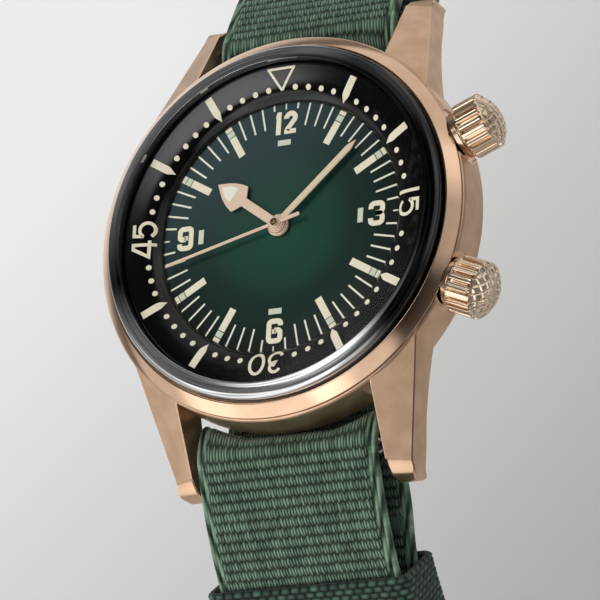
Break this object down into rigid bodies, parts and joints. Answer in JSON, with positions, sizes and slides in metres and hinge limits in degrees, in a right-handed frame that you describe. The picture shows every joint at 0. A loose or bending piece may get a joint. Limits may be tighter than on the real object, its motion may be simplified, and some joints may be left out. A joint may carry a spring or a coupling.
{
  "type": "dive watch",
  "caption": "Mechanical dive watch with rotating inner bezel, two fluted crowns, domed crystal and a woven pass-through strap with pin buckle.",
  "frame": {"origin": "on the hand axis, in the plane of the strap face that rests on the wrist", "axes": "+Z out of the dial towards the wearer's eye, +Y towards 12 o'clock, +X towards 3 o'clock and the crowns"},
  "size_m": [0.0457, 0.1334, 0.1094],
  "materials": {
    "bronze": "brushed, satin",
    "bronze_polished": "polished",
    "steel": "brushed",
    "gear_brass": "machined",
    "rhodium": "satin plated",
    "sapphire": "polished, clear",
    "dial_green": "graduated green lacquer, darker at the rim",
    "flange_black": "gloss black lacquer",
    "seal_rubber": "matt",
    "holder_plastic": "matt",
    "webbing": "ribbed woven nylon",
    "webbing_dark": "coarse basket weave nylon",
    "hairspring_blue": "blued"
  },
  "bodies": {
    "case": {"case_middle": "bronze", "bezel_ring": "bronze", "crystal": "sapphire", "crystal_gasket": "seal_rubber", "case_back": "bronze", "case_back_gasket": "seal_rubber", "dial": "dial_green", "main_plate": "rhodium", "train_bridge": "rhodium", "winding_bridge": "rhodium", "balance_cock": "rhodium", "balance_spring": "hairspring_blue", "rotor_screw": "steel", "movement_ring": "holder_plastic", "movement_clamp_1": "steel", "movement_clamp_2": "steel", "clamp_screw_1": "steel", "clamp_screw_2": "steel", "time_crown_tube": "steel", "bezel_crown_tube": "steel", "spring_bar_12": "steel", "spring_bar_6": "steel", "strap_under_case": "webbing", "under_strap_centre": "webbing"},
    "inner_bezel": {"inner_bezel": "flange_black"},
    "bezel_crown_seal": {"bezel_crown_seal": "seal_rubber"},
    "bezel_crown": {"bezel_crown": "bronze", "bezel_crown_stem": "steel"},
    "time_crown_seal": {"time_crown_seal": "seal_rubber"},
    "time_crown": {"time_crown": "bronze", "winding_stem": "steel"},
    "minute": {"minute_hand": "bronze_polished", "cannon_pinion": "steel"},
    "hour": {"hour_hand": "bronze_polished", "hour_wheel": "gear_brass"},
    "minute_wheel": {"minute_wheel": "gear_brass"},
    "seconds": {"seconds_hand": "bronze_polished", "fourth_wheel": "gear_brass"},
    "third_wheel": {"third_wheel": "gear_brass"},
    "great_wheel": {"great_wheel": "gear_brass"},
    "barrel": {"barrel": "gear_brass"},
    "escape_wheel": {"escape_wheel": "steel"},
    "pallet_fork": {"pallet_fork": "steel"},
    "balance": {"balance_wheel": "gear_brass"},
    "rotor": {"rotor": "rhodium"},
    "bar_tip_12_right": {"bar_tip_12_right": "steel"},
    "bar_tip_12_left": {"bar_tip_12_left": "steel"},
    "bar_tip_6_right": {"bar_tip_6_right": "steel"},
    "bar_tip_6_left": {"bar_tip_6_left": "steel"},
    "buckle_half": {"strap_buckle_half": "webbing", "under_strap_buckle_side": "webbing", "fixed_ring": "bronze"},
    "sliding_ring": {"sliding_ring": "bronze"},
    "buckle": {"buckle_frame": "bronze", "buckle_bar": "steel"},
    "tongue": {"buckle_tongue": "bronze"},
    "tail_half": {"strap_tail_half": "webbing", "under_strap_keeper_side": "webbing", "keeper_loop": "webbing_dark"}
  },
  "joints": [
    {"name": "inner_bezel_turn", "type": "hinge", "parent": "case", "child": "inner_bezel", "pos_m": [0, 0, 0.0124], "axis": [0, 0, 1], "continuous": true},
    {"name": "bezel_crown_pull", "type": "slide", "parent": "case", "child": "bezel_crown_seal", "axis": [0.9259, 0.3778, 0], "range_m": [0, 0.0008]},
    {"name": "bezel_crown_turn", "type": "hinge", "parent": "bezel_crown_seal", "child": "bezel_crown", "pos_m": [0.02222, 0.00907, 0.0104], "axis": [0.9259, 0.3778, 0], "continuous": true},
    {"name": "time_crown_pull", "type": "slide", "parent": "case", "child": "time_crown_seal", "axis": [0.9259, -0.3778, 0], "range_m": [0, 0.0012]},
    {"name": "time_crown_turn", "type": "hinge", "parent": "time_crown_seal", "child": "time_crown", "pos_m": [0.02222, -0.00907, 0.0104], "axis": [0.9259, -0.3778, 0], "continuous": true},
    {"name": "minute_hand_turn", "type": "hinge", "parent": "case", "child": "minute", "pos_m": [0, 0, 0.0124], "axis": [0, 0, -1], "continuous": true},
    {"name": "hour_hand_turn", "type": "hinge", "parent": "case", "child": "hour", "pos_m": [0, 0, 0.0124], "axis": [0, 0, -1], "continuous": true},
    {"name": "minute_wheel_turn", "type": "hinge", "parent": "case", "child": "minute_wheel", "pos_m": [0.0024, 0, 0.011], "axis": [0, 0, -1], "continuous": true},
    {"name": "seconds_hand_turn", "type": "hinge", "parent": "case", "child": "seconds", "pos_m": [0, 0, 0.0124], "axis": [0, 0, -1], "continuous": true},
    {"name": "third_wheel_turn", "type": "hinge", "parent": "case", "child": "third_wheel", "pos_m": [0.00356, 0.00174, 0.0089], "axis": [0, 0, -1], "continuous": true},
    {"name": "great_wheel_turn", "type": "hinge", "parent": "case", "child": "great_wheel", "pos_m": [0.00025, 0.00467, 0.0089], "axis": [0, 0, -1], "continuous": true},
    {"name": "barrel_turn", "type": "hinge", "parent": "case", "child": "barrel", "pos_m": [-0.0053, 0.00545, 0.0089], "axis": [0, 0, -1], "continuous": true},
    {"name": "escape_wheel_turn", "type": "hinge", "parent": "case", "child": "escape_wheel", "pos_m": [0.00085, -0.00319, 0.0089], "axis": [0, 0, -1], "continuous": true},
    {"name": "pallet_fork_rock", "type": "hinge", "parent": "case", "child": "pallet_fork", "pos_m": [0.00061, -0.00593, 0.0083], "axis": [0, 0, 1], "range_deg": [-6, 6]},
    {"name": "balance_swing", "type": "hinge", "parent": "case", "child": "balance", "pos_m": [0.00051, -0.00883, 0.0079], "axis": [0, 0, 1], "range_deg": [-270, 270]},
    {"name": "rotor_turn", "type": "hinge", "parent": "case", "child": "rotor", "pos_m": [0, 0, 0.0062], "axis": [0, 0, 1], "continuous": true},
    {"name": "bar_tip_12_right_press", "type": "slide", "parent": "case", "child": "bar_tip_12_right", "axis": [-1, 0, 0], "range_m": [0, 0.0008]},
    {"name": "bar_tip_12_left_press", "type": "slide", "parent": "case", "child": "bar_tip_12_left", "axis": [1, 0, 0], "range_m": [0, 0.0008]},
    {"name": "bar_tip_6_right_press", "type": "slide", "parent": "case", "child": "bar_tip_6_right", "axis": [-1, 0, 0], "range_m": [0, 0.0008]},
    {"name": "bar_tip_6_left_press", "type": "slide", "parent": "case", "child": "bar_tip_6_left", "axis": [1, 0, 0], "range_m": [0, 0.0008]},
    {"name": "buckle_half_swing", "type": "hinge", "parent": "case", "child": "buckle_half", "pos_m": [0, 0.023, 0.0066], "axis": [1, 0, 0], "range_deg": [-28, 38]},
    {"name": "tail_half_swing", "type": "hinge", "parent": "case", "child": "tail_half", "pos_m": [0, -0.023, 0.0066], "axis": [-1, 0, 0], "range_deg": [-28, 38]},
    {"name": "sliding_ring_travel", "type": "slide", "parent": "buckle_half", "child": "sliding_ring", "axis": [0, 0.4647, -0.8855], "range_m": [-0.003, 0.005]},
    {"name": "buckle_swing", "type": "hinge", "parent": "buckle_half", "child": "buckle", "pos_m": [0, 0.06416, -0.04575], "axis": [1, 0, 0], "range_deg": [-40, 40]},
    {"name": "tongue_swing", "type": "hinge", "parent": "buckle", "child": "tongue", "pos_m": [0, 0.06416, -0.04575], "axis": [1, 0, 0], "range_deg": [0, 85]}
  ],
  "couplings": [
    {"joint": "bezel_crown_turn", "follows": "inner_bezel_turn", "ratio": -12},
    {"joint": "hour_hand_turn", "follows": "minute_hand_turn", "ratio": 0.083333},
    {"joint": "minute_wheel_turn", "follows": "minute_hand_turn", "ratio": -0.33333},
    {"joint": "third_wheel_turn", "follows": "seconds_hand_turn", "ratio": -0.125},
    {"joint": "great_wheel_turn", "follows": "seconds_hand_turn", "ratio": 0.016667},
    {"joint": "barrel_turn", "follows": "seconds_hand_turn", "ratio": -0.0027778},
    {"joint": "escape_wheel_turn", "follows": "seconds_hand_turn", "ratio": -10}
  ]
}
